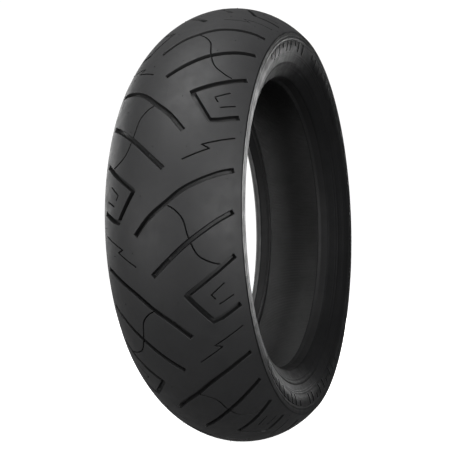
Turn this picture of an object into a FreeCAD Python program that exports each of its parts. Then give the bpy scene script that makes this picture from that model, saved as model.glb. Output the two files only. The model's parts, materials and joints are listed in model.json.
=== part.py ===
import FreeCAD, Part
import math
import os

# Tubeless radial rear tire of the 190/55-17 class, off the rim.
# Lengths in mm. The wheel axis is +Y, +Z is up, the origin is the wheel centre.
# Cross-sections are drawn in the (y, r) half-plane and spun about the wheel axis.

# outer shape
TIRE_RADIUS = 320.0
CROWN_RADIUS = 118.0
CROWN_CENTRE = TIRE_RADIUS - CROWN_RADIUS
SHOULDER = (90.4, 277.9, 3.0)
SIDE_WIDEST = (87.6, 258.0, 30.0)
SIDE_LOWER = (74.5, 232.5, 20.0)

# bead, for a 17 inch rim seat
SEAT_RADIUS = 217.0
HEEL = (62.8, SEAT_RADIUS, 5.0)
SEAT_INNER = (50.0, SEAT_RADIUS, 1.0)
TOE = (45.2, 213.6, 0.0)

# layer thicknesses, from the air chamber outward
LINER = 1.0
PLY = 0.8
BELT = 0.8
OVERLAY = 0.8
BASE = 1.2
CAP = 7.2

# half spans of the crown layers, degrees seen from the centre of the crown arc
BELT_INNER_SPAN = 41.0
BELT_OUTER_SPAN = 38.0
OVERLAY_SPAN = 43.0
CUSHION_SPAN = 50.0
BASE_SPAN = 47.5
CAP_SPAN = 49.3

# air chamber surface
CHAMBER_SHOULDER = (87.0, 262.5, 15.0)
CHAMBER_FLANK = (49.0, 230.0, 8.0)
LINER_END = 222.6

# bead core: where the casing plies turn round the wire
CORE_INSIDE = 53.0
CORE_OUTSIDE = 62.2
CORE_BOTTOM = SEAT_RADIUS + 2.8
CORE_TOP = 229.0
CORE_CORNER = 2.2
CORE_BLEND = 6.0
FILLER_TOP = 248.8
LONG_TURN_UP = 246.5
SHORT_TURN_UP = 240.0
WIRE_CENTRE = (57.6, 224.6)
WIRE_HALF_WIDTH = 3.9
WIRE_HALF_HEIGHT = 3.7
WIRE_CHAMFER = 1.6

# chafer: how far it wraps out on the seat and up inside the core
CHAFER_END = 61.0
CHAFER_INNER = CORE_INSIDE + 2.0
CHAFER_TOP = CORE_TOP + 8.0

# joint between sidewall and rim cushion
CUSHION_JOINT = ((55.0, 230.0), (95.0, 244.0))

# raised rings on the sidewall: outline corners either side, radius, width, height
SIDE_RIBS = (
    (SIDE_WIDEST, SHOULDER, 270.0, 1.6, 0.6),
    (SIDE_LOWER, SIDE_WIDEST, 249.0, 1.2, 0.5),
    (SIDE_LOWER, SIDE_WIDEST, 242.0, 2.0, 0.8),
)
RIB_FOOT = 0.3
RIB_TAPER = 0.6

# limits of the zones that share the right half of the section out: y, then r
ZONE_INNER = 40.0
ZONE_OUTER = 110.0
ZONE_LOW = 205.0
ZONE_HIGH = 300.0

# tread pattern
PITCHES = 8
PITCH_ANGLE = 360.0 / PITCHES
GROOVE_WIDTH = 6.0
GROOVE_DEPTH = 6.0
SIPE_WIDTH = 1.6
SIPE_DEPTH = 3.5
MARK_WIDTH = 1.4
MARK_DEPTH = 2.0
TOOL_ABOVE = 2.5

# centrelines on the right half as (degrees round the wheel, mm of arc from the centre plane)
LONG_GROOVES = (
    ((-13.6, -8.5), (-8.3, 25.0), (-3.9, 58.0), (0.0, 92.0)),
    ((-4.9, -28.0), (1.7, 12.0), (6.3, 50.0), (9.6, 92.0)),
)
HOOK_GROOVE = ((-10.2, 92.0), (-17.8, 31.0), (-24.3, 57.0), (-21.9, 92.0))
LINK_SIPE = ((1.3, 14.0), (-1.7, 33.0), (-5.8, 39.0), (-9.3, 48.0), (-11.6, 72.0))
ZIGZAG_SIPE = ((-34.0, 30.0), (-31.1, 60.6), (-30.4, 51.4), (-27.5, 90.0))
SMALL_MARKS = (
    ((-19.4, 63.0), (-18.3, 58.5), (-16.0, 75.6)),
    ((-20.7, 66.5), (-19.2, 85.0)),
)


def section_point(y, r):
    return FreeCAD.Vector(0.0, y, r)


def unit(dy, dr):
    length = math.hypot(dy, dr)
    return dy / length, dr / length


def tangent_angle(point, radius):
    """Where the tangent from a point touches a circle about the crown centre."""
    dy = point[0]
    dr = point[1] - CROWN_CENTRE
    return math.atan2(dy, dr) - math.acos(radius / math.hypot(dy, dr))


def crown_apex(point, radius):
    """Corner whose fillet is the crown arc that runs on toward the point."""
    return (0.0, CROWN_CENTRE + radius / math.cos(tangent_angle(point, radius)), radius)


def mirrored(apex, half):
    """Whole path from the left end to the right end."""
    left = [(-y, r, rad) for y, r, rad in reversed(half)]
    return left + [apex] + list(half)


def offset_path(path, t):
    """Move a rounded path by t toward its left, which is outward at the crown."""
    lines = []
    for a, b in zip(path, path[1:]):
        dy, dr = unit(b[0] - a[0], b[1] - a[1])
        lines.append(((a[0] - dr * t, a[1] + dy * t), (b[0] - dr * t, b[1] + dy * t), (dy, dr)))
    moved = [(lines[0][0][0], lines[0][0][1], 0.0)]
    for (a, _, da), (b, _, db), corner in zip(lines, lines[1:], path[1:-1]):
        cross = da[0] * db[1] - da[1] * db[0]
        run = ((b[0] - a[0]) * db[1] - (b[1] - a[1]) * db[0]) / cross
        radius = corner[2] - t if cross > 0.0 else corner[2] + t
        moved.append((a[0] + da[0] * run, a[1] + da[1] * run, max(radius, 0.0) if corner[2] else 0.0))
    moved.append((lines[-1][1][0], lines[-1][1][1], 0.0))
    return moved


def path_edges(path):
    """Lines and fillet arcs of a rounded path."""
    edges = []
    start = section_point(path[0][0], path[0][1])
    for a, corner, b in zip(path, path[1:], path[2:]):
        vertex = section_point(corner[0], corner[1])
        back = (section_point(a[0], a[1]) - vertex).normalize()
        ahead = (section_point(b[0], b[1]) - vertex).normalize()
        if corner[2] <= 0.0:
            edges.append(Part.makeLine(start, vertex))
            start = vertex
            continue
        half = back.getAngle(ahead) / 2.0
        reach = corner[2] / math.tan(half)
        first = vertex + back * reach
        last = vertex + ahead * reach
        bisector = (back + ahead).normalize()
        middle = vertex + bisector * (corner[2] / math.sin(half) - corner[2])
        if (first - start).Length > 1e-6:
            edges.append(Part.makeLine(start, first))
        edges.append(Part.Arc(first, middle, last).toShape())
        start = last
    edges.append(Part.makeLine(start, section_point(path[-1][0], path[-1][1])))
    return edges


def face_of(edges):
    return Part.Face(Part.Wire(Part.__sortEdges__(edges)))


def band(path, inner, outer):
    """Strip between two offsets of one path."""
    low = offset_path(path, inner)
    high = offset_path(path, outer)
    ends = [
        Part.makeLine(section_point(*low[0][:2]), section_point(*high[0][:2])),
        Part.makeLine(section_point(*low[-1][:2]), section_point(*high[-1][:2])),
    ]
    return face_of(path_edges(low) + path_edges(high) + ends)


def polygon(points):
    corners = [section_point(y, r) for y, r in points]
    return Part.Face(Part.makePolygon(corners + corners[:1]))


def zone(low, high):
    """Right-hand part of the section between two radii."""
    return polygon([(ZONE_INNER, low), (ZONE_OUTER, low), (ZONE_OUTER, high), (ZONE_INNER, high)])


def crown_point(radius, degrees):
    a = math.radians(degrees)
    return section_point(radius * math.sin(a), CROWN_CENTRE + radius * math.cos(a))


def crown_band(inner, outer, span):
    """Strip of the crown between two radii of the crown arc."""
    arcs = [
        Part.Arc(crown_point(r, -span), crown_point(r, 0.0), crown_point(r, span)).toShape()
        for r in (inner, outer)
    ]
    ends = [Part.makeLine(crown_point(inner, a), crown_point(outer, a)) for a in (-span, span)]
    return face_of(arcs + ends)


def rib(a, b, r, width, height):
    """Low ridge across the outline between two of its corners."""
    y, r, _ = on_line(a, b, r)
    dy, dr = unit(b[0] - a[0], b[1] - a[1])
    half = width / 2.0
    crest = half * RIB_TAPER
    steps = ((-half, -RIB_FOOT), (half, -RIB_FOOT), (crest, height), (-crest, height))
    return polygon([(y + dy * t + dr * h, r + dr * t - dy * h) for t, h in steps])


def largest_face(shape):
    return max(shape.Faces, key=lambda f: f.Area)


def flip(face):
    """Left-hand twin of a right-hand section."""
    return face.mirror(FreeCAD.Vector(0, 0, 0), FreeCAD.Vector(0, 1, 0))


def spin(face):
    return largest_face(face).revolve(FreeCAD.Vector(0, 0, 0), FreeCAD.Vector(0, 1, 0), 360.0)


def tread_point(degrees, arc, height):
    """Point over the crown surface at a wheel angle and an arc length from the centre."""
    a = math.radians(degrees)
    p = arc / CROWN_RADIUS
    reach = CROWN_CENTRE + (CROWN_RADIUS + height) * math.cos(p)
    return FreeCAD.Vector(
        reach * math.cos(a), (CROWN_RADIUS + height) * math.sin(p), reach * math.sin(a)
    )


def tread_normal(degrees, arc):
    return (tread_point(degrees, arc, 1.0) - tread_point(degrees, arc, 0.0)).normalize()


def channel(line, width, depth, smooth):
    """Cutting tool along a centreline, with walls square to the crown."""
    on_surface = [tread_point(a, s, 0.0) for a, s in line]
    wires = []
    for i, (a, s) in enumerate(line):
        normal = tread_normal(a, s)
        steps = []
        if i > 0:
            steps.append((on_surface[i] - on_surface[i - 1]).normalize())
        if i < len(line) - 1:
            steps.append((on_surface[i + 1] - on_surface[i]).normalize())
        along = steps[0] if len(steps) == 1 else (steps[0] + steps[1]).normalize()
        stretch = 1.0 / along.dot(steps[0])
        side = along.cross(normal).normalize() * (width * 0.5 * stretch)
        top = on_surface[i] + normal * TOOL_ABOVE
        low = on_surface[i] - normal * depth
        corners = [top - side, top + side, low + side, low - side]
        wires.append(Part.makePolygon(corners + corners[:1]))
    return Part.makeLoft(wires, True, not smooth)


def straight_runs(line, width, depth):
    """One tool for each straight run of a sharp-cornered sipe."""
    return [channel(pair, width, depth, False) for pair in zip(line, line[1:])]


def smooth_run(line, width, depth):
    return [channel(line, width, depth, True)]


def mitred_run(line, width, depth):
    return [channel(line, width, depth, False)]


def on_line(a, b, r):
    """Point at radius r on the line through two section points."""
    share = (r - a[1]) / (b[1] - a[1])
    return (a[0] + (b[0] - a[0]) * share, r, 0.0)


# centrelines, width, depth and how each kind of groove is cut
pattern = (
    (LONG_GROOVES, GROOVE_WIDTH, GROOVE_DEPTH, smooth_run),
    ((HOOK_GROOVE,), GROOVE_WIDTH, GROOVE_DEPTH, mitred_run),
    ((LINK_SIPE,), SIPE_WIDTH, SIPE_DEPTH, smooth_run),
    ((ZIGZAG_SIPE,), SIPE_WIDTH, SIPE_DEPTH, straight_runs),
    (SMALL_MARKS, MARK_WIDTH, MARK_DEPTH, straight_runs),
)

# closed outlines of the whole section
outer_half = [SHOULDER, SIDE_WIDEST, SIDE_LOWER, HEEL, SEAT_INNER, TOE]
chamber_radius = CROWN_RADIUS - CAP - BASE - OVERLAY - 2.0 * BELT - 2.0 * PLY - LINER
chamber_half = [CHAMBER_SHOULDER, CHAMBER_FLANK, TOE]
outer_path = mirrored(crown_apex(SHOULDER, CROWN_RADIUS), outer_half)
chamber_path = mirrored(crown_apex(CHAMBER_SHOULDER, chamber_radius), chamber_half)
whole = face_of(path_edges(outer_path) + path_edges(chamber_path))

# path of the casing round both bead cores, on the tread side of the plies
casing = offset_path(chamber_path, LINER + 2.0 * PLY)
apex_at = len(casing) // 2
apex, shoulder, flank = casing[apex_at : apex_at + 3]
slope = (shoulder[0] - flank[0]) / (shoulder[1] - flank[1])
core_entry = (CORE_INSIDE, flank[1] + (CORE_INSIDE - flank[0]) / slope, CORE_BLEND)
core_loop = [
    core_entry,
    (CORE_INSIDE, CORE_BOTTOM, CORE_CORNER),
    (CORE_OUTSIDE, CORE_BOTTOM, CORE_CORNER),
    (CORE_OUTSIDE, CORE_TOP, CORE_BLEND),
]
tip = on_line(shoulder, flank, FILLER_TOP)
short_end = on_line(core_loop[-1], tip, SHORT_TURN_UP)
long_end = on_line(core_loop[-1], tip, LONG_TURN_UP)
long_casing = mirrored(apex, [shoulder] + core_loop + [long_end])
short_casing = mirrored(apex, [shoulder] + core_loop + [short_end])
liner_end = on_line(CHAMBER_FLANK, TOE, LINER_END)
liner_path = mirrored(chamber_path[len(chamber_path) // 2], [CHAMBER_SHOULDER, CHAMBER_FLANK, liner_end])

# crown layers
radius = chamber_radius + LINER + 2.0 * PLY
belt_inner = crown_band(radius, radius + BELT, BELT_INNER_SPAN)
belt_outer = crown_band(radius + BELT, radius + 2.0 * BELT, BELT_OUTER_SPAN)
under_base = radius + 2.0 * BELT + OVERLAY
overlay = crown_band(radius + 2.0 * BELT, under_base, OVERLAY_SPAN)
cushion = crown_band(radius, under_base, CUSHION_SPAN).cut([belt_inner, belt_outer, overlay])
base = crown_band(under_base, under_base + BASE, BASE_SPAN)
cap = crown_band(under_base, CROWN_RADIUS, CAP_SPAN).cut(base)

# casing, liner and bead core
ply_outer = band(long_casing, -PLY, 0.0)
ply_inner = band(short_casing, -2.0 * PLY, -PLY)
liner = band(liner_path, 0.0, LINER)
core = face_of(path_edges([tip] + core_loop + [tip]))
wire_y, wire_r = WIRE_CENTRE
wire = polygon([
    (wire_y + sy * (WIRE_HALF_WIDTH - cy), wire_r + sr * (WIRE_HALF_HEIGHT - cr))
    for sy, sr, cy, cr in (
        (-1, -1, WIRE_CHAMFER, 0.0), (1, -1, WIRE_CHAMFER, 0.0),
        (1, -1, 0.0, WIRE_CHAMFER), (1, 1, 0.0, WIRE_CHAMFER),
        (1, 1, WIRE_CHAMFER, 0.0), (-1, 1, WIRE_CHAMFER, 0.0),
        (-1, 1, 0.0, WIRE_CHAMFER), (-1, -1, 0.0, WIRE_CHAMFER),
    )
])
above_wire = zone(CORE_TOP, ZONE_HIGH)
filler = core.common(above_wire)
wrap = core.cut(above_wire).cut(wire)

# rubber outside the casing
inside = [liner, ply_outer, ply_inner, core]
chafer_zone = polygon([
    (ZONE_INNER, ZONE_LOW), (CHAFER_END, ZONE_LOW), (CHAFER_END, CORE_BOTTOM),
    (CHAFER_INNER, CORE_BOTTOM), (CHAFER_INNER, CHAFER_TOP), (ZONE_INNER, CHAFER_TOP),
])
chafer = whole.common(chafer_zone).cut(inside)
low, high = CUSHION_JOINT
below_joint = polygon([(CORE_INSIDE, ZONE_LOW), low, high, (high[0], ZONE_LOW)])
outside = whole.common(zone(ZONE_LOW, ZONE_HIGH)).cut(inside + [chafer, cushion, belt_inner, belt_outer, overlay, base, cap])
rim_cushion = outside.common(below_joint)
sidewall = outside.cut(below_joint)

# tread pattern tools
tools = []
for pitch in range(PITCHES):
    turn = pitch * PITCH_ANGLE
    for side, shift in ((1.0, 0.0), (-1.0, -PITCH_ANGLE / 2.0)):
        for lines, width, depth, make in pattern:
            for line in lines:
                placed = [(a + turn + shift, s * side) for a, s in line]
                tools.extend(make(placed, width, depth))

crown_sections = {
    "tread_cap": cap,
    "tread_base": base,
    "cap_ply": overlay,
    "belt_outer": belt_outer,
    "belt_inner": belt_inner,
    "casing_ply_outer": ply_outer,
    "casing_ply_inner": ply_inner,
    "inner_liner": liner,
}
side_sections = {
    "belt_cushion": max(cushion.Faces, key=lambda f: f.CenterOfMass.y),
    "sidewall": sidewall,
    "rim_cushion": rim_cushion,
    "chafer": chafer,
    "bead_filler": filler,
    "bead_wrap": wrap,
    "bead_wire": wire,
}
nodes = {name: spin(face) for name, face in crown_sections.items()}
for name, face in side_sections.items():
    nodes[name + "_right"] = spin(face)
    nodes[name + "_left"] = spin(flip(face))
nodes["tread_cap"] = nodes["tread_cap"].cut(tools)
ribs = [rib(*sizes) for sizes in SIDE_RIBS]
nodes["sidewall_right"] = nodes["sidewall_right"].fuse([spin(r) for r in ribs]).removeSplitter()
nodes["sidewall_left"] = nodes["sidewall_left"].fuse([spin(flip(r)) for r in ribs]).removeSplitter()

os.makedirs("parts", exist_ok=True)
for name, shape in nodes.items():
    shape.exportStep("parts/%s.step" % name)
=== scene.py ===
"""Looks of the motorcycle tire: detailed rubber pieces, procedural materials, studio and camera.

Shapes are worked out in millimetres as (y, r), the distance along the wheel axis and from it, and
go into meshes in metres. The tread is laid out as (degrees round the wheel, mm across the crown).
"""
import json
import math

import bmesh
import bpy
import numpy as np
from mathutils import Matrix, Vector
from mathutils.geometry import delaunay_2d_cdt


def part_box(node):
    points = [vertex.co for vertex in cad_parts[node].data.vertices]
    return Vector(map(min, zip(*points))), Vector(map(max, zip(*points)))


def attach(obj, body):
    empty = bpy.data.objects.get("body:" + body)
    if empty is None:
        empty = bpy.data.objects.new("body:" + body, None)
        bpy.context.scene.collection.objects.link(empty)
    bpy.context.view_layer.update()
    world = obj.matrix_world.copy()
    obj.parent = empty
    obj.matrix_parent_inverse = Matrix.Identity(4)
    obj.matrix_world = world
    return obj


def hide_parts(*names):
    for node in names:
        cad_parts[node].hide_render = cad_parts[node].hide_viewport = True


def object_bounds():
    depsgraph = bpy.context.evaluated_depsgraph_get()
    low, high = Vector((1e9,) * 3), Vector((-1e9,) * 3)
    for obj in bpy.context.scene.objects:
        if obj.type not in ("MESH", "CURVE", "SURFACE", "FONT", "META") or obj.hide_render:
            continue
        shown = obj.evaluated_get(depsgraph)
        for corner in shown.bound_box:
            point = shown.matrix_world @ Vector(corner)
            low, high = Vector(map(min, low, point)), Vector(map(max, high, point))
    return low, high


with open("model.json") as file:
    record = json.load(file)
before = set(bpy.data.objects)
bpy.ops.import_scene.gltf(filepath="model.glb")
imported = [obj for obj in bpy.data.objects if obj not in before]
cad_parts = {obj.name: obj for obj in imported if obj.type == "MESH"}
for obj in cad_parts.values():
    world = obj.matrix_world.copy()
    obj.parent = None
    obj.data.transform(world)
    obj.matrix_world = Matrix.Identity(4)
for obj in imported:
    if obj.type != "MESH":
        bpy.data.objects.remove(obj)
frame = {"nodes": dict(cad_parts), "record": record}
cad_low, cad_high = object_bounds()
MM = 0.001

# ---------------------------------------------------------------- sizes
# Taken from the CAD frame
TIRE_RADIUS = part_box("tread_cap")[1].x / MM
HALF_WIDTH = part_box("sidewall_right")[1].y / MM
SEAT_RADIUS = [m for m in frame["record"]["mounts"] if m["name"] == "bead_seat_right"][0]["dims"]["r_mm"]

# Crown and tread cap, the same as in the part
CROWN_RADIUS = 118.0
CROWN_CENTRE = TIRE_RADIUS - CROWN_RADIUS
CAP_ANGLE = math.radians(49.3)
CAP_EDGE = CROWN_RADIUS * CAP_ANGLE
CAP_THICKNESS = 7.2

# Outer path of the right side: (y, r, corner radius)
SIDE_PATH = (
    (CROWN_RADIUS * math.sin(CAP_ANGLE), CROWN_CENTRE + CROWN_RADIUS * math.cos(CAP_ANGLE), 0.0),
    (HALF_WIDTH + 0.15, TIRE_RADIUS - 42.1, 3.0),
    (HALF_WIDTH - 2.65, TIRE_RADIUS - 62.0, 30.0),
    (HALF_WIDTH - 15.75, SEAT_RADIUS + 15.5, 20.0),
    (HALF_WIDTH - 27.45, SEAT_RADIUS, 5.0),
    (HALF_WIDTH - 40.25, SEAT_RADIUS, 1.0),
    (HALF_WIDTH - 45.05, SEAT_RADIUS - 3.4, 1.2),
    (HALF_WIDTH - 46.6, SEAT_RADIUS - 1.6, 1.2),
    (HALF_WIDTH - 43.2, SEAT_RADIUS + 11.0, 0.0),
)

# Surface of the air chamber from the crown to the right edge of the liner
CHAMBER_PATH = (
    (HALF_WIDTH - 3.25, TIRE_RADIUS - 57.5, 15.0),
    (HALF_WIDTH - 41.25, SEAT_RADIUS + 13.0, 8.0),
    (HALF_WIDTH - 42.97, SEAT_RADIUS + 5.6, 0.0),
)
CHAMBER_CROWN = (0.0, TIRE_RADIUS + 32.5, 104.6)


# ---------------------------------------------------------------- small helpers
def mesh_object(name, points, faces, smooth_below=30.0):
    """A new mesh object from points in mm and faces, shaded smooth except at edges sharper than the angle."""
    mesh = bpy.data.meshes.new(name)
    mesh.from_pydata([tuple(c * MM for c in p) for p in points], [], faces)
    mesh.validate()
    work = bmesh.new()
    work.from_mesh(mesh)
    bmesh.ops.recalc_face_normals(work, faces=work.faces)
    work.to_mesh(mesh)
    work.free()
    mesh.shade_smooth()
    mesh.set_sharp_from_angle(angle=math.radians(smooth_below))
    made = bpy.data.objects.new(name, mesh)
    bpy.context.scene.collection.objects.link(made)
    return made


def rounded(corners, step=1.2):
    """The polyline through (y, r, radius) corners with each corner replaced by its arc, as (y, r) points."""
    pts = [np.array(c[:2]) for c in corners]
    out = [pts[0]]
    for i in range(1, len(pts) - 1):
        back = pts[i - 1] - pts[i]
        ahead = pts[i + 1] - pts[i]
        back = back / np.linalg.norm(back)
        ahead = ahead / np.linalg.norm(ahead)
        half = math.acos(max(-1.0, min(1.0, float(back @ ahead)))) / 2
        radius = corners[i][2]
        if radius <= 0:
            out.append(pts[i])
            continue
        reach = radius / math.tan(half)
        middle = (back + ahead) / np.linalg.norm(back + ahead)
        centre = pts[i] + middle * radius / math.sin(half)
        a = pts[i] + back * reach - centre
        b = pts[i] + ahead * reach - centre
        turn = math.atan2(a[0] * b[1] - a[1] * b[0], float(a @ b))
        count = max(3, int(abs(turn) * radius / step) + 2)
        for k in range(count):
            w = turn * k / (count - 1)
            c, s = math.cos(w), math.sin(w)
            out.append(centre + np.array((a[0] * c - a[1] * s, a[0] * s + a[1] * c)))
    out.append(pts[-1])
    return resample(out, step)


def resample(points, step):
    """Splits the long runs of a polyline so that no run is longer than the step."""
    out = [points[0]]
    for a, b in zip(points, points[1:]):
        count = max(1, int(math.ceil(np.linalg.norm(b - a) / step)))
        out.extend(a + (b - a) * k / count for k in range(1, count + 1))
    return np.array(out)


def outward(path):
    """Unit normals of a (y, r) polyline, on its left when followed."""
    run = np.gradient(path, axis=0)
    run /= np.linalg.norm(run, axis=1)[:, None]
    return np.stack([-run[:, 1], run[:, 0]], 1)


def lathe(skin, thickness, segments, relief):
    """A closed ring: the skin path (y, r) turned about the wheel axis, with a lining that far inside it.

    relief(skin, turn) gives how far each skin point stands proud, in mm.
    """
    normal = outward(skin)
    lining = (skin - normal * thickness)[::-1]
    turn = np.arange(segments) * 2 * math.pi / segments
    lift = relief(skin, turn)
    y = np.vstack([skin[:, :1] + normal[:, :1] * lift, np.repeat(lining[:, :1], segments, 1)])
    r = np.vstack([skin[:, 1:] + normal[:, 1:] * lift, np.repeat(lining[:, 1:], segments, 1)])
    points = np.stack([r * np.cos(turn), y, r * np.sin(turn)], -1).reshape(-1, 3)
    total = len(y)
    faces = []
    for i in range(total):
        j = (i + 1) % total
        for k in range(segments):
            n = (k + 1) % segments
            faces.append((i * segments + k, j * segments + k, j * segments + n, i * segments + n))
    return points, faces


def mirrored(points, faces):
    """The same piece for the left side."""
    flipped = np.array(points) * (1, -1, 1)
    return flipped, [f[::-1] for f in faces]


# ---------------------------------------------------------------- tread pattern
# One pitch of the right half. Each line is in (degrees, mm across); the left half repeats it half a pitch on.
PITCH = 45.0
DEGREE_MM = math.radians(TIRE_RADIUS)
PATTERN_EDGE = 92.0

# Kinds of groove, in mm. The lip is the eased edge and the wall the width of its slope. Play is the slack
# that heights() allows round each loop of points, and step is how far apart the points are.
MAIN = {"width": 6.2, "depth": 6.0, "lip": 0.35, "wall": 0.7, "play": 0.1, "step": 3.0}
SIPE = {"width": 1.8, "depth": 3.4, "lip": 0.2, "wall": 0.3, "play": 0.06, "step": 2.4}
MARK = {**SIPE, "depth": 2.8}
CURVED, STRAIGHT = True, False
PATTERN = (
    (MAIN, CURVED, ((-13.4, -8.0), (-10.0, 14.0), (-6.7, 36.0), (-3.9, 58.0), (-2.2, 72.0),
                    (-0.1, PATTERN_EDGE))),
    (MAIN, CURVED, ((-4.9, -28.0), (-1.1, -8.0), (1.7, 12.0), (5.0, 36.0), (8.3, 72.0), (9.6, PATTERN_EDGE))),
    (MAIN, STRAIGHT, ((-10.2, PATTERN_EDGE), (-13.3, 68.0), (-17.8, 30.5), (-24.4, 57.0), (-23.9, 68.0),
                      (-21.9, PATTERN_EDGE))),
    (SIPE, CURVED, ((1.4, 14.0), (0.3, 24.0), (-1.7, 33.0), (-5.6, 39.0), (-9.2, 48.0), (-11.0, 62.0),
                    (-11.7, 73.0))),
    (SIPE, STRAIGHT, ((-34.0, 30.0), (-31.1, 60.6), (-30.4, 51.4), (-27.5, 90.0))),
    (MARK, STRAIGHT, ((-19.4, 63.0), (-18.3, 58.5), (-16.0, 75.6))),
    (MARK, STRAIGHT, ((-20.7, 66.5), (-19.2, 85.0))),
)

# Shares of the depth reached at the wall's foot, and of the lip at the groove's edge
DEEP_WALL = 0.86
LIP_DROP = 0.7

# Wear bar: the point of a main groove's line where it stands, its half length and its depth
WEAR_BAR_AT = 9
WEAR_BAR_HALF = 3.0
WEAR_BAR_DEPTH = 4.6

# Mould parting line and vent stubs
PARTING_HALF = 0.3
PARTING_HEIGHT = 0.1
VENT_RADIUS = 0.55
VENT_HEIGHT = 0.7
VENT_ROOT = 0.3
VENTS = (
    (2.0, 60.0), (7.5, 84.0), (14.0, 34.0), (13.0, 70.0), (19.5, 96.0), (26.0, 20.0), (31.0, 66.0),
    (36.5, 8.0), (41.0, 45.0),
)

# Grid of the plain tread in one pitch, and how far it keeps from the grooves and the parting line
COLUMNS, ROWS = 60, 44
GROOVE_MARGIN = 1.5
ROW_MARGIN = 1.2
UNDERSIDE_POINTS = 15

# Limits: least cosine at a mitred corner, reach of a groove's end in half widths, degrees that a groove may
# lie outside its pitch and still reach in, digits kept in a cut, keys for shared points, and lengths in mm
# that count as nothing and as far away
MITRE_LIMIT = 0.35
END_REACH = 2.2
OVERHANG = 2.0
CUT_DIGITS = 3
KEYS_PER_DEGREE, KEYS_PER_MM = 2000, 200
TINY, FAR = 1e-4, 1e9


def girth(s):
    """Millimetres per degree round the wheel, at s across the crown."""
    return np.radians(CROWN_CENTRE + CROWN_RADIUS * np.cos(s / CROWN_RADIUS))


def on_tread(degrees, s, height):
    """Point of the tread surface at that height above the plain crown."""
    radius = CROWN_RADIUS + height
    reach = CROWN_CENTRE + radius * np.cos(s / CROWN_RADIUS)
    turn = np.radians(degrees)
    return np.stack([reach * np.cos(turn), radius * np.sin(s / CROWN_RADIUS), reach * np.sin(turn)], -1)


def curve_through(points, step):
    """A smooth line through the points, sampled about every step mm."""
    p = np.array(points, float)
    p = np.vstack([2 * p[0] - p[1], p, 2 * p[-1] - p[-2]])
    out = []
    for i in range(1, len(p) - 2):
        length = math.hypot((p[i + 1][0] - p[i][0]) * DEGREE_MM, p[i + 1][1] - p[i][1])
        count = max(2, int(length / step))
        for t in np.arange(count) / count:
            out.append(0.5 * (2 * p[i] + (p[i + 1] - p[i - 1]) * t
                              + (2 * p[i - 1] - 5 * p[i] + 4 * p[i + 1] - p[i + 2]) * t * t
                              + (3 * p[i] - p[i - 1] - 3 * p[i + 1] + p[i + 2]) * t ** 3))
    out.append(p[-2])
    return np.array(out)


def split_runs(points, step):
    """Straight runs with a point about every step mm."""
    p = np.array(points, float)
    out = [p[0]]
    for a, b in zip(p, p[1:]):
        length = math.hypot((b[0] - a[0]) * DEGREE_MM, b[1] - a[1])
        count = max(1, int(round(length / step)))
        out.extend(a + (b - a) * k / count for k in range(1, count + 1))
    return np.array(out)


def directions(line):
    """Unit direction of each run of the line."""
    middle = (line[1:, 1] + line[:-1, 1]) / 2
    run = np.stack([(line[1:, 0] - line[:-1, 0]) * girth(middle), line[1:, 1] - line[:-1, 1]], 1)
    return run / np.linalg.norm(run, axis=1)[:, None]


def loop_at(line, half, inset):
    """Closed loop round a groove, inset from its edge, as (degrees, mm) points."""
    run = directions(line)
    before = np.vstack([run[:1], run])
    after = np.vstack([run, run[-1:]])
    middle = before + after
    middle /= np.linalg.norm(middle, axis=1)[:, None]
    stretch = 1 / np.maximum(MITRE_LIMIT, np.sum(middle * after, axis=1))
    side = np.stack([-middle[:, 1], middle[:, 0]], 1) * stretch[:, None]
    ends = line.copy()
    ends[0] += run[0] * inset / (girth(line[0, 1]), 1)
    ends[-1] -= run[-1] * inset / (girth(line[-1, 1]), 1)
    scale = np.stack([girth(line[:, 1]), np.ones(len(line))], 1)
    reach = half - inset
    return np.vstack([ends + side * reach / scale, (ends - side * reach / scale)[::-1]])


def edge_distance(line, half, theta, s):
    """How far inside the groove's edge each point lies (negative outside), in mm."""
    per = girth(s)
    best = np.full(len(s), FAR)
    for a, b in zip(line, line[1:]):
        px = (theta - a[0]) * per
        py = s - a[1]
        vx = (b[0] - a[0]) * per
        vy = b[1] - a[1]
        t = np.clip((px * vx + py * vy) / (vx * vx + vy * vy), 0, 1)
        best = np.minimum(best, np.hypot(px - t * vx, py - t * vy))
    inside = half - best
    for tip, run in ((line[0], directions(line)[0]), (line[-1], -directions(line)[-1])):
        px = (theta - tip[0]) * per
        py = s - tip[1]
        near = np.hypot(px, py) < half * END_REACH
        inside = np.where(near, np.minimum(inside, px * run[0] + py * run[1]), inside)
    return inside


def build_features():
    """The groove lines that reach into one pitch, both halves, as (line, half width, groove, wear bar)."""
    made = []
    for groove, curved, points in PATTERN:
        line = (curve_through if curved else split_runs)(points, groove["step"])
        for side in (1, -1):
            for shift in range(-1, 3):
                copy = line * (1, side) + (shift * PITCH + (-PITCH / 2 if side < 0 else 0), 0)
                if copy[:, 0].max() > -OVERHANG and copy[:, 0].min() < PITCH + OVERHANG:
                    bar = copy[WEAR_BAR_AT] if curved and groove is MAIN else None
                    made.append((copy, groove["width"] / 2, groove, bar))
    return made


def heights(theta, s, features):
    """Height of the tread surface against the plain crown: eased lip, steep wall, rounded floor.

    Each height holds for a little play round its loop of points, so that the edges come out even.
    """
    height = PARTING_HEIGHT * np.clip(1 - np.abs(s) / PARTING_HALF, 0, 1)
    for line, half, groove, bar in features:
        inside = edge_distance(line, half, theta, s)
        lip, wall, play, depth = groove["lip"], groove["wall"], groove["play"], groove["depth"]
        floor = -np.interp(inside, (-lip + play, -play, play, wall - play, wall + play, 2 * wall - play),
                           (0, LIP_DROP * lip, LIP_DROP * lip, DEEP_WALL * depth, DEEP_WALL * depth, depth))
        if bar is not None:
            near = np.hypot((theta - bar[0]) * girth(s), s - bar[1]) < WEAR_BAR_HALF
            floor = np.where(near, np.maximum(floor, -WEAR_BAR_DEPTH), floor)
        height = np.where(inside > -lip, np.minimum(height, floor), height)
    return height


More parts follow.
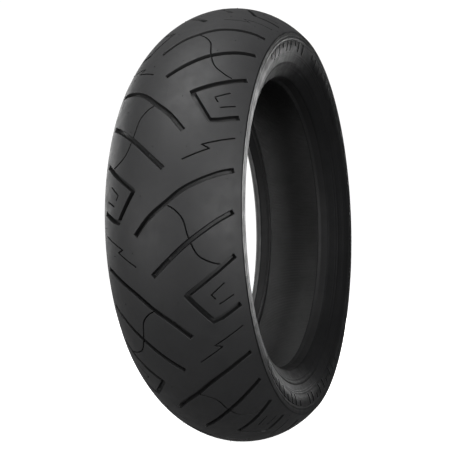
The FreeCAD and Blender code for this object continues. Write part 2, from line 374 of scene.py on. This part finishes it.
def tread_pitch(features):
    """One pitch of the tread as (degrees, s) points and triangles, with matching points on both cut edges."""
    points, edges = [], []
    cuts = set()

    def add(p):
        points.append(p)
        return len(points) - 1

    def chain(loop, closed=True):
        """Edges along the loop, clipped to the pitch."""
        count = len(loop)
        for i in range(count if closed else count - 1):
            a = loop[i]
            b = loop[(i + 1) % count]
            if max(a[0], b[0]) <= 0 or min(a[0], b[0]) >= PITCH:
                continue
            for wall in (0.0, PITCH):
                if (a[0] - wall) * (b[0] - wall) < 0:
                    t = (wall - a[0]) / (b[0] - a[0])
                    cut = (wall, round(float(a[1] + t * (b[1] - a[1])), CUT_DIGITS))
                    cuts.add(cut[1])
                    if a[0] < 0 or a[0] > PITCH:
                        a = cut
                    else:
                        b = cut
            edges.append((add((float(a[0]), float(a[1]))), add((float(b[0]), float(b[1])))))

    for line, half, groove, _ in features:
        insets = [-groove["lip"], 0.0, groove["wall"]]
        if groove is MAIN:
            insets.append(2 * groove["wall"])
        for inset in insets:
            chain(loop_at(line, half, inset))
        chain(line, closed=False)
    columns = np.linspace(0, PITCH, COLUMNS + 1)
    across = np.linspace(-CAP_EDGE, CAP_EDGE, ROWS + 1)
    theta = np.arange(1, COLUMNS) * PITCH / COLUMNS
    for s in (-PARTING_HALF, 0.0, PARTING_HALF):
        chain(np.stack([columns, np.full(COLUMNS + 1, s)], 1), closed=False)
        cuts.add(s)
    spare = np.array([(t, s) for s in across[1:-1] for t in theta])
    clear = np.full(len(spare), -FAR)
    for line, half, _, _ in features:
        clear = np.maximum(clear, edge_distance(line, half, spare[:, 0], spare[:, 1]))
    for p in spare[(clear < -GROOVE_MARGIN) & (np.abs(spare[:, 1]) > GROOVE_MARGIN)]:
        add((float(p[0]), float(p[1])))
    kept = sorted(cuts)
    for s in across[1:-1]:
        if min(abs(s - c) for c in kept) > ROW_MARGIN:
            cuts.add(round(float(s), CUT_DIGITS))
    border = [round(-CAP_EDGE, CUT_DIGITS)] + sorted(cuts) + [round(CAP_EDGE, CUT_DIGITS)]
    for wall in (0.0, PITCH):
        ids = [add((wall, s)) for s in border]
        edges.extend(zip(ids, ids[1:]))
    for s in (border[0], border[-1]):
        ids = [add((float(t), s)) for t in columns]
        edges.extend(zip(ids, ids[1:]))
    scaled = [Vector((t * DEGREE_MM, s)) for t, s in points]
    out, _, faces, _, _, _ = delaunay_2d_cdt(scaled, edges, [], 0, TINY)
    return np.array([(p[0] / DEGREE_MM, p[1]) for p in out]), [tuple(f) for f in faces]


def build_tread():
    """The whole tread cap: grooved outside, radial edges and a plain underside."""
    features = build_features()
    cell, faces = tread_pitch(features)
    height = heights(cell[:, 0], cell[:, 1], features)
    ids, points, crown, all_faces = {}, [], [], []

    def point(degrees, s, h, level):
        key = (round(degrees * KEYS_PER_DEGREE) % (360 * KEYS_PER_DEGREE), round(s * KEYS_PER_MM), level)
        if key not in ids:
            ids[key] = len(points)
            points.append(on_tread(np.float64(degrees), np.float64(s), h))
            crown.append((degrees, s, h))
        return ids[key]

    for k in range(int(360 / PITCH)):
        index = [point(t + k * PITCH, s, h, 0) for (t, s), h in zip(cell, height)]
        all_faces.extend(tuple(index[v] for v in f) for f in faces)
    outer_count = len(points)
    steps = int(COLUMNS * 360 / PITCH)
    levels = [(-CAP_EDGE, 0.0, 0), (-CAP_EDGE, -CAP_THICKNESS / 2, 1)]
    levels += [(s, -CAP_THICKNESS, 1) for s in np.linspace(-CAP_EDGE, CAP_EDGE, UNDERSIDE_POINTS)]
    levels += [(CAP_EDGE, -CAP_THICKNESS / 2, 1), (CAP_EDGE, 0.0, 0)]
    for row, (a, b) in enumerate(zip(levels, levels[1:])):
        for k in range(steps):
            t, n = k * 360 / steps, (k + 1) * 360 / steps
            near = (a[0], a[1], 0 if a[2] == 0 else row + 1)
            far = (b[0], b[1], 0 if b[2] == 0 else row + 2)
            all_faces.append((point(t, *near), point(n, *near), point(n, *far), point(t, *far)))
    add_vents(points, crown, all_faces, features)
    made = mesh_object("tread", points, all_faces, smooth_below=28.0)
    shade_crown(made, crown, outer_count)
    # Depth below the crown, which the tread material turns into painted shade in the grooves
    depth = made.data.attributes.new("groove_depth", "FLOAT", "POINT")
    below = -np.array(crown, float)[:, 2] / MAIN["depth"]
    below[outer_count:] = 0
    depth.data.foreach_set("value", np.clip(below, 0, 1).astype(np.float32))
    return made


def add_vents(points, crown, faces, features):
    """Stubs of rubber that the mould's air vents leave on the plain tread."""
    corners = 8
    for side in (1, -1):
        for t, s in VENTS:
            theta = np.array([(t + (PITCH / 2 if side < 0 else 0)) % PITCH])
            place = np.array([s * side])
            inside = max(edge_distance(line, half, theta, place)[0] for line, half, _, _ in features)
            if inside > -GROOVE_MARGIN:
                continue
            for k in range(int(360 / PITCH)):
                base = len(points)
                for height in (-VENT_ROOT, VENT_HEIGHT):
                    for c in range(corners):
                        turn = 2 * math.pi * c / corners
                        across = s * side + VENT_RADIUS * math.sin(turn)
                        degrees = theta[0] + k * PITCH + VENT_RADIUS * math.cos(turn) / girth(across)
                        points.append(on_tread(degrees, across, height))
                        crown.append((degrees, across, height))
                faces.append(tuple(base + corners + c for c in range(corners)))
                faces.append(tuple(base + c for c in range(corners))[::-1])
                for c in range(corners):
                    n = (c + 1) % corners
                    faces.append((base + c, base + n, base + corners + n, base + corners + c))


def shade_crown(made, crown, outer_count):
    """True crown normals on the plain tread, so that the triangles between grooves don't show as facets."""
    mesh = made.data
    crown = np.array(crown, float)
    corner = np.zeros(len(mesh.loops), int)
    mesh.loops.foreach_get("vertex_index", corner)
    plain = (crown[:, 2] > -TINY) & (np.arange(len(crown)) < outer_count)
    turn = np.radians(crown[:, 0])
    lean = crown[:, 1] / CROWN_RADIUS
    normal = np.stack([np.cos(lean) * np.cos(turn), np.sin(lean), np.cos(lean) * np.sin(turn)], 1)
    custom = np.zeros((len(corner), 3))
    starts = np.zeros(len(mesh.polygons), int)
    sizes = np.zeros(len(mesh.polygons), int)
    mesh.polygons.foreach_get("loop_start", starts)
    mesh.polygons.foreach_get("loop_total", sizes)
    for start, size in zip(starts, sizes):
        ids = corner[start:start + size]
        if size == 3 and plain[ids].all() and (np.abs(crown[ids, 1]) > 0.99 * PARTING_HALF).all():
            custom[start:start + size] = normal[ids]
    mesh.normals_split_custom_set(custom.tolist())


# ---------------------------------------------------------------- sidewalls, rim cushions, chafers, liner
SIDE_SEGMENTS, BEAD_SEGMENTS = 720, 360
CUSHION_TOP = SEAT_RADIUS + 21.2
CHAFER_EDGE = HALF_WIDTH - 29.25

# Raised rings: (height, mm above the bead seat, half width)
SIDE_RINGS = ((0.3, 53.0, 1.8), (0.3, 32.0, 1.2), (0.25, 29.2, 0.9), (0.3, 60.9, 0.9))
CUSHION_RINGS = ((0.6, 18.0, 2.0), (0.25, 13.0, 1.0))
CHAFER_RIDGES, CHAFER_RIDGE_STEP, CHAFER_RIDGE_HALF, CHAFER_RIDGE_HEIGHT = 5, 1.4, 0.45, 0.12
CHAFER_RIDGES_FROM = HALF_WIDTH - 31.5

# Fluted band: how many flutes, their height, mm above the bead seat, half width
FLUTES, FLUTE_HEIGHT, FLUTES_ABOVE, FLUTES_HALF = 360, 0.25, 57.3, 2.4

# Waves of the liner: (height, how many round it, lean)
LINER_WAVES = ((0.1, 180, 1), (0.05, 61, 3))
WAVES_FROM, WAVES_RISE, WAVE_LEAN = 8, 12, 60
LINER_THICKNESS = 1.0

# Blocks: middle of each group in degrees, how many, their spacing and half widths in degrees, and mm
BLOCK_GROUPS = (72.0, 117.0, 252.0, 297.0)
BLOCKS_IN_GROUP = 9
BLOCK_STEP = 4.3
BLOCK_WIDE, BLOCK_NARROW = 1.55, 1.15
BLOCK_ROOT, BLOCK_HEIGHT = 0.4, 0.5
BLOCK_BAND = (SEAT_RADIUS + 50, SEAT_RADIUS + 35.5)
BLOCK_ROWS, SHORT_BLOCK_ROWS, BLOCK_COLUMNS = 9, 5, 5
END_MARGIN = 0.05


def part_of_path(path, first, last):
    """The stretch of the path between two lengths along it, with exact ends."""
    run = np.concatenate([[0], np.cumsum(np.linalg.norm(np.diff(path, axis=0), axis=1))])
    inside = [path[i] for i in range(len(path)) if first + END_MARGIN < run[i] < last - END_MARGIN]
    ends = [np.array([np.interp(v, run, path[:, 0]), np.interp(v, run, path[:, 1])]) for v in (first, last)]
    return np.array([ends[0]] + inside + [ends[1]])


def length_to(path, test):
    """Length along the path to its first point that passes the test."""
    run = np.concatenate([[0], np.cumsum(np.linalg.norm(np.diff(path, axis=0), axis=1))])
    return float(run[[i for i, p in enumerate(path) if test(p)][0]])


def bump(value, centre, half):
    """A rounded ridge of height one and that half width."""
    return np.sqrt(np.clip(1 - ((value - centre) / half) ** 2, 0, 1))


def rings(r, table):
    """Height at radius r of all the raised rings in the table."""
    return sum(height * bump(r, SEAT_RADIUS + above, half) for height, above, half in table)


def build_sides():
    """Skins of the right sidewall, rim cushion and chafer, and their left copies."""
    path = rounded(SIDE_PATH, step=0.7)
    cushion_from = length_to(path, lambda p: p[1] < CUSHION_TOP)
    chafer_from = length_to(path, lambda p: p[0] < CHAFER_EDGE)
    total = float(np.sum(np.linalg.norm(np.diff(path, axis=0), axis=1)))

    def side_relief(skin, turn):
        r = skin[:, 1:]
        flutes = 0.5 + 0.5 * np.cos(turn[None, :] * FLUTES)
        band = np.clip(1 - ((r - SEAT_RADIUS - FLUTES_ABOVE) / FLUTES_HALF) ** 4, 0, 1)
        return rings(r, SIDE_RINGS) + FLUTE_HEIGHT * flutes * band

    def cushion_relief(skin, turn):
        return rings(skin[:, 1:], CUSHION_RINGS) * np.ones((1, len(turn)))

    def chafer_relief(skin, turn):
        places = [CHAFER_RIDGES_FROM - CHAFER_RIDGE_STEP * k for k in range(CHAFER_RIDGES)]
        ridges = sum(bump(skin[:, :1], place, CHAFER_RIDGE_HALF) for place in places)
        return CHAFER_RIDGE_HEIGHT * ridges * np.ones((1, len(turn)))

    pieces = (
        ("sidewall", part_of_path(path, 0, cushion_from), 2.4, SIDE_SEGMENTS, side_relief),
        ("rim_cushion", part_of_path(path, cushion_from, chafer_from), 2.2, BEAD_SEGMENTS, cushion_relief),
        ("chafer", part_of_path(path, chafer_from, total), 1.3, BEAD_SEGMENTS, chafer_relief),
    )
    for name, skin, thickness, segments, relief in pieces:
        points, faces = lathe(skin, thickness, segments, relief)
        if name == "sidewall":
            points, faces = add_blocks(points, faces, path)
        for side, (p, f) in (("right", (points, faces)), ("left", mirrored(points, faces))):
            made = mesh_object(f"{name}_{side}_skin", p, f, smooth_below=35.0)
            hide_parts(f"{name}_{side}")
            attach(made, "root")
            made.data.materials.append(materials[name])


def build_liner():
    """The inner liner, with the shallow waves that the curing bladder leaves across it."""
    half = list(CHAMBER_PATH)
    corners = [(-y, r, radius) for y, r, radius in half[::-1]] + [CHAMBER_CROWN] + half
    skin = rounded(corners, step=5.0)[::-1]

    def relief(skin, turn):
        fade = np.clip((skin[:, 1:] - SEAT_RADIUS - WAVES_FROM) / WAVES_RISE, 0, 1)
        lean = skin[:, :1] / WAVE_LEAN
        return fade * sum(h * np.cos(turn[None, :] * count + k * lean) for h, count, k in LINER_WAVES)

    points, faces = lathe(skin, LINER_THICKNESS, SIDE_SEGMENTS, relief)
    made = mesh_object("inner_liner_skin", points, faces, smooth_below=40.0)
    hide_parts("inner_liner")
    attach(made, "root")
    made.data.materials.append(materials["liner"])


def add_blocks(points, faces, path):
    """Plain raised blocks in four groups round the sidewall."""
    upper = part_of_path(path, *(length_to(path, lambda p, r=r: p[1] < r) for r in BLOCK_BAND))
    points = [tuple(p) for p in points]
    faces = list(faces)
    rows = np.linspace(0, len(upper) - 1, BLOCK_ROWS).round().astype(int)
    normal = outward(upper)
    for group in BLOCK_GROUPS:
        for k in range(BLOCKS_IN_GROUP):
            middle = group + (k - BLOCKS_IN_GROUP // 2) * BLOCK_STEP
            half = BLOCK_WIDE if k % 2 else BLOCK_NARROW
            span = rows if k % 3 else rows[:SHORT_BLOCK_ROWS]
            turn = np.radians(middle + np.linspace(-half, half, BLOCK_COLUMNS))
            n, m = len(span), len(turn)
            base = len(points)
            for level in (-BLOCK_ROOT, BLOCK_HEIGHT):
                for row in span:
                    y, r = upper[row] + normal[row] * level
                    points.extend((r * math.cos(t), y, r * math.sin(t)) for t in turn)
            low = base + np.arange(n * m).reshape(n, m)
            top = low + n * m
            for i in range(n - 1):
                for j in range(m - 1):
                    faces.append((top[i, j], top[i, j + 1], top[i + 1, j + 1], top[i + 1, j]))
                    faces.append((low[i, j], low[i + 1, j], low[i + 1, j + 1], low[i, j + 1]))
            ring = [(0, j) for j in range(m)] + [(i, m - 1) for i in range(1, n)]
            ring += [(n - 1, j) for j in range(m - 2, -1, -1)] + [(i, 0) for i in range(n - 2, 0, -1)]
            for a, b in zip(ring, ring[1:] + ring[:1]):
                faces.append((low[a], low[b], top[b], top[a]))
    return np.array(points), [tuple(int(v) for v in f) for f in faces]


# ---------------------------------------------------------------- materials
def shader(name):
    """A new node material, its tree and its main shader."""
    material = bpy.data.materials.new(name)
    material.use_nodes = True
    tree = material.node_tree
    return material, tree, tree.nodes["Principled BSDF"]


def node(tree, kind, **values):
    """A node with the given input values and settings."""
    made = tree.nodes.new(kind)
    for key, value in values.items():
        if key in made.inputs:
            made.inputs[key].default_value = value
        else:
            setattr(made, key, value)
    return made


def ramp(tree, source, low, high, start=0.3, end=0.7):
    """Colour from a value, running from one colour to the other."""
    made = tree.nodes.new("ShaderNodeValToRGB")
    made.color_ramp.elements[0].position = start
    made.color_ramp.elements[1].position = end
    made.color_ramp.elements[0].color = (*low, 1)
    made.color_ramp.elements[1].color = (*high, 1)
    tree.links.new(source, made.inputs[0])
    return made


def map_range(tree, source, low, high, start=0.3, end=0.7):
    """Number from a value, running from one number to the other."""
    values = {"From Min": start, "From Max": end, "To Min": low, "To Max": high}
    made = node(tree, "ShaderNodeMapRange", **values)
    tree.links.new(source, made.inputs["Value"])
    return made.outputs["Result"]


def bumped(tree, height, strength, distance, under=None):
    """Bump from a height, on top of another bump."""
    made = node(tree, "ShaderNodeBump", Strength=strength, Distance=distance)
    tree.links.new(height, made.inputs["Height"])
    if under is not None:
        tree.links.new(under, made.inputs["Normal"])
    return made.outputs["Normal"]


def with_painted_groove_shade(tree, colour):
    """The colour with painted shade: dark down the groove walls and less so on the floor."""
    depth = node(tree, "ShaderNodeAttribute", attribute_name="groove_depth")
    shade = ramp(tree, depth.outputs["Fac"], (1, 1, 1), (0.7, 0.7, 0.7), start=0.0, end=1.0)
    for position, value in ((0.06, 0.45), (0.85, 0.3)):
        shade.color_ramp.elements.new(position).color = (value, value, value, 1)
    darker = node(tree, "ShaderNodeMix", data_type="RGBA", blend_type="MULTIPLY")
    darker.inputs["Factor"].default_value = 1.0
    # Sockets 6 and 7 are the two colours of this node, and output 2 is their product
    tree.links.new(colour, darker.inputs[6])
    tree.links.new(shade.outputs["Color"], darker.inputs[7])
    return darker.outputs[2]


def dulled(tree, place, gloss):
    """The roughness, higher towards the bead, by radius in metres."""
    flat = node(tree, "ShaderNodeVectorMath", operation="MULTIPLY")
    flat.inputs[1].default_value = (1, 0, 1)
    tree.links.new(place, flat.inputs[0])
    radius = node(tree, "ShaderNodeVectorMath", operation="LENGTH")
    tree.links.new(flat.outputs["Vector"], radius.inputs[0])
    both = node(tree, "ShaderNodeMath", operation="ADD")
    tree.links.new(gloss, both.inputs[0])
    added = map_range(tree, radius.outputs["Value"], low=0.16, high=0.0, start=0.246, end=0.266)
    tree.links.new(added, both.inputs[1])
    return both.outputs[0]


def rippled(tree, place, count, under):
    """Fine ripples across the ring, that many round it."""
    parts = node(tree, "ShaderNodeSeparateXYZ")
    tree.links.new(place, parts.inputs[0])
    angle = node(tree, "ShaderNodeMath", operation="ARCTAN2")
    tree.links.new(parts.outputs["Z"], angle.inputs[0])
    tree.links.new(parts.outputs["X"], angle.inputs[1])
    wave = node(tree, "ShaderNodeMath", operation="MULTIPLY")
    wave.inputs[1].default_value = count
    tree.links.new(angle.outputs[0], wave.inputs[0])
    sine = node(tree, "ShaderNodeMath", operation="SINE")
    tree.links.new(wave.outputs[0], sine.inputs[0])
    return bumped(tree, sine.outputs[0], strength=0.7, distance=0.0004, under=under)


def rubber(name, dark, light, rough, grain=1400.0, grain_height=0.00006, specular=0.5, **extra):
    """Moulded rubber: cloudy colour, uneven gloss and fine grain.

    Extras are grooved (painted shade, darker down the grooves), dull_inside (less gloss towards the bead) and
    ripples.
    """
    material, tree, bsdf = shader(name)
    place = node(tree, "ShaderNodeTexCoord").outputs["Object"]
    cloud = node(tree, "ShaderNodeTexNoise", Scale=14.0, Detail=6.0, Roughness=0.62)
    fine = node(tree, "ShaderNodeTexNoise", Scale=grain, Detail=3.0, Roughness=0.6)
    patch = node(tree, "ShaderNodeTexNoise", Scale=70.0, Detail=5.0, Roughness=0.6)
    for texture in (cloud, fine, patch):
        tree.links.new(place, texture.inputs["Vector"])
    colour = ramp(tree, cloud.outputs["Fac"], dark, light).outputs["Color"]
    # Painted shade: the base colour is darkened by groove depth, darkest down the walls
    if "grooved" in extra:
        colour = with_painted_groove_shade(tree, colour)
    tree.links.new(colour, bsdf.inputs["Base Color"])
    gloss = map_range(tree, patch.outputs["Fac"], rough - 0.07, rough + 0.08)
    if "dull_inside" in extra:
        gloss = dulled(tree, place, gloss)
    tree.links.new(gloss, bsdf.inputs["Roughness"])
    bsdf.inputs["Specular IOR Level"].default_value = specular
    wavy = bumped(tree, patch.outputs["Fac"], strength=0.2, distance=0.0008)
    skin = bumped(tree, fine.outputs["Fac"], strength=0.6, distance=grain_height, under=wavy)
    if "ripples" in extra:
        skin = rippled(tree, place, extra["ripples"], skin)
    tree.links.new(skin, bsdf.inputs["Normal"])
    return material


def corded(name, dark, light, rough, metallic, stripes):
    """A rubbered cord layer: close parallel cords round the ring with rubber between them."""
    material, tree, bsdf = shader(name)
    place = node(tree, "ShaderNodeTexCoord").outputs["Object"]
    wave = node(tree, "ShaderNodeTexWave", bands_direction="Y", Scale=stripes, Distortion=0.4, Detail=2.0)
    noise = node(tree, "ShaderNodeTexNoise", Scale=220.0, Detail=4.0)
    tree.links.new(place, wave.inputs["Vector"])
    tree.links.new(place, noise.inputs["Vector"])
    colour = ramp(tree, wave.outputs["Fac"], dark, light, start=0.2, end=0.8)
    tree.links.new(colour.outputs["Color"], bsdf.inputs["Base Color"])
    gloss = map_range(tree, noise.outputs["Fac"], rough - 0.1, rough + 0.1)
    tree.links.new(gloss, bsdf.inputs["Roughness"])
    bsdf.inputs["Metallic"].default_value = metallic
    cords = bumped(tree, wave.outputs["Fac"], strength=0.6, distance=0.0004)
    tree.links.new(cords, bsdf.inputs["Normal"])
    return material


materials = {
    "tread": rubber("tread_rubber", (0.019, 0.0192, 0.02), (0.026, 0.0262, 0.0272), rough=0.56, grooved=True),
    "sidewall": rubber("sidewall_rubber", (0.0055, 0.0056, 0.006), (0.009, 0.0091, 0.0096), rough=0.42,
                       grain=900.0, grain_height=0.00004, specular=0.2, dull_inside=True),
    "rim_cushion": rubber("rim_cushion_rubber", (0.006, 0.0061, 0.0065), (0.01, 0.0101, 0.0106), rough=0.64,
                          grain=900.0, grain_height=0.00004, specular=0.14),
    "chafer": rubber("chafer_rubber", (0.01, 0.0101, 0.0105), (0.015, 0.0151, 0.0155), rough=0.58,
                     grain=1600.0, specular=0.24),
    "liner": rubber("liner_rubber", (0.05, 0.05, 0.0505), (0.072, 0.072, 0.0725), rough=0.5,
                    grain=500.0, grain_height=0.00005, ripples=620),
    "gum": rubber("gum_rubber", (0.02, 0.0195, 0.018), (0.03, 0.029, 0.027), rough=0.6),
    "cord": corded("rubbered_cord", (0.03, 0.026, 0.02), (0.36, 0.28, 0.16), rough=0.65, metallic=0.0,
                   stripes=260.0),
    "steel": corded("brassed_steel_cord", (0.05, 0.04, 0.03), (0.6, 0.5, 0.3), rough=0.4, metallic=1.0,
                    stripes=220.0),
}

# The CAD layers inside the tire keep their solids and take these materials
INSIDE = {
    "tread_base": "gum", "cap_ply": "cord", "belt_outer": "cord", "belt_inner": "cord",
    "casing_ply_outer": "cord", "casing_ply_inner": "cord",
    "belt_cushion": "gum", "bead_filler": "gum", "bead_wrap": "cord", "bead_wire": "steel",
}
for name, cad in frame["nodes"].items():
    plain = name.removesuffix("_left").removesuffix("_right")
    if plain in INSIDE:
        cad.data.materials.clear()
        cad.data.materials.append(materials[INSIDE[plain]])

tread = build_tread()
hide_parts("tread_cap")
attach(tread, "root")
tread.data.materials.append(materials["tread"])
build_sides()
build_liner()


# ---------------------------------------------------------------- studio
def area_light(name, place, target, size, watts):
    """A soft white panel at that place, facing the target."""
    light = bpy.data.lights.new(name, "AREA")
    light.shape = "RECTANGLE"
    light.size, light.size_y = size
    light.energy = watts
    made = bpy.data.objects.new(name, light)
    made.location = place
    made.rotation_euler = (Vector(target) - Vector(place)).to_track_quat("-Z", "Y").to_euler()
    made.visible_camera = False
    bpy.context.scene.collection.objects.link(made)


def build_stage():
    """A plain pale floor under the tire."""
    size, low = 14.0, cad_low.z
    corners = [(-size, -size, low), (size, -size, low), (size, size, low), (-size, size, low)]
    mesh = bpy.data.meshes.new("floor")
    mesh.from_pydata(corners, [], [(0, 1, 2, 3)])
    floor = bpy.data.objects.new("floor", mesh)
    bpy.context.scene.collection.objects.link(floor)
    material, _, bsdf = shader("floor_paper")
    bsdf.inputs["Base Color"].default_value = (0.93, 0.93, 0.93, 1)
    bsdf.inputs["Roughness"].default_value = 0.9
    bsdf.inputs["Emission Color"].default_value = (1, 1, 1, 1)
    bsdf.inputs["Emission Strength"].default_value = 1.0
    mesh.materials.append(material)
    floor.visible_diffuse = False
    floor.visible_glossy = False


build_stage()
area_light("key", (1.3, 0.0, 2.3), (0.1, 0, 0.1), (2.0, 1.8), 50)
area_light("right", (1.5, 2.4, 0.5), (0.1, 0, 0), (2.2, 1.6), 37)
area_light("right_low", (1.2, 2.3, -0.15), (0.0, 0, 0.15), (1.6, 0.3), 11)
area_light("front", (2.9, 1.5, 0.1), (0, -0.05, 0), (1.0, 1.2), 12)
area_light("front_low", (2.3, -1.3, -0.1), (0.2, 0, -0.1), (1.8, 0.4), 17)
area_light("left", (0.6, -3.0, 0.3), (0.1, 0, 0), (1.8, 1.6), 2)
area_light("left_back", (-1.7, -2.7, 0.7), (0.0, 0, 0.0), (2.0, 1.6), 34)
area_light("behind", (-2.6, -0.12, 0.3), (0.1, 0.05, 0), (1.3, 1.0), 36)

# White paper behind for the camera, and for all other rays a soft fill that is brighter on the left and above
world = bpy.data.worlds.new("studio")
bpy.context.scene.world = world
world.use_nodes = True
tree = world.node_tree
fill = tree.nodes["Background"]
fill.inputs["Color"].default_value = (1, 1, 1, 1)
lean = node(tree, "ShaderNodeVectorMath", operation="DOT_PRODUCT")
lean.inputs[1].default_value = (0.0, -0.9, 0.25)
tree.links.new(tree.nodes.new("ShaderNodeTexCoord").outputs["Generated"], lean.inputs[0])
brightness = map_range(tree, lean.outputs["Value"], low=0.05, high=0.27, start=-0.8, end=0.8)
tree.links.new(brightness, fill.inputs["Strength"])
paper = node(tree, "ShaderNodeBackground", Strength=1.05)
paper.inputs["Color"].default_value = (1, 1, 1, 1)
pick = tree.nodes.new("ShaderNodeMixShader")
tree.links.new(tree.nodes.new("ShaderNodeLightPath").outputs["Is Camera Ray"], pick.inputs[0])
tree.links.new(fill.outputs[0], pick.inputs[1])
tree.links.new(paper.outputs[0], pick.inputs[2])
tree.links.new(pick.outputs[0], tree.nodes["World Output"].inputs["Surface"])
bpy.context.scene.view_settings.view_transform = "Standard"

# ---------------------------------------------------------------- camera
# Metres from the tire's middle, angles in degrees, lens and sensor in mm
DISTANCE = 1.201
AZIMUTH, ELEVATION, ROLL, YAW, PITCH_UP = 110.28, -3.0, -0.697, 1.379, -0.115
SENSOR_WIDTH, LENS, SHIFT_X = 36.0, 62.602, -0.09956
azimuth, elevation = math.radians(AZIMUTH), math.radians(ELEVATION)
level = Vector((math.sin(azimuth), -math.cos(azimuth), 0)) * math.cos(elevation)
back = level + Vector((0, 0, math.sin(elevation)))
ahead = -back
right = ahead.cross(Vector((0, 0, 1))).normalized()
up = right.cross(ahead)


def turned(a, b, degrees):
    """Two square directions turned together by that angle."""
    c, s = math.cos(math.radians(degrees)), math.sin(math.radians(degrees))
    return c * a + s * b, c * b - s * a


ahead, right = turned(ahead, right, YAW)
ahead, up = turned(ahead, up, PITCH_UP)
right, up = turned(right, up, ROLL)
camera = bpy.data.objects.new("camera", bpy.data.cameras.new("camera"))
bpy.context.scene.collection.objects.link(camera)
camera.matrix_world = Matrix.Translation(back * DISTANCE) @ Matrix((right, up, -ahead)).transposed().to_4x4()
camera.data.sensor_width = SENSOR_WIDTH
camera.data.lens = LENS
camera.data.shift_x = SHIFT_X
bpy.context.scene.camera = camera
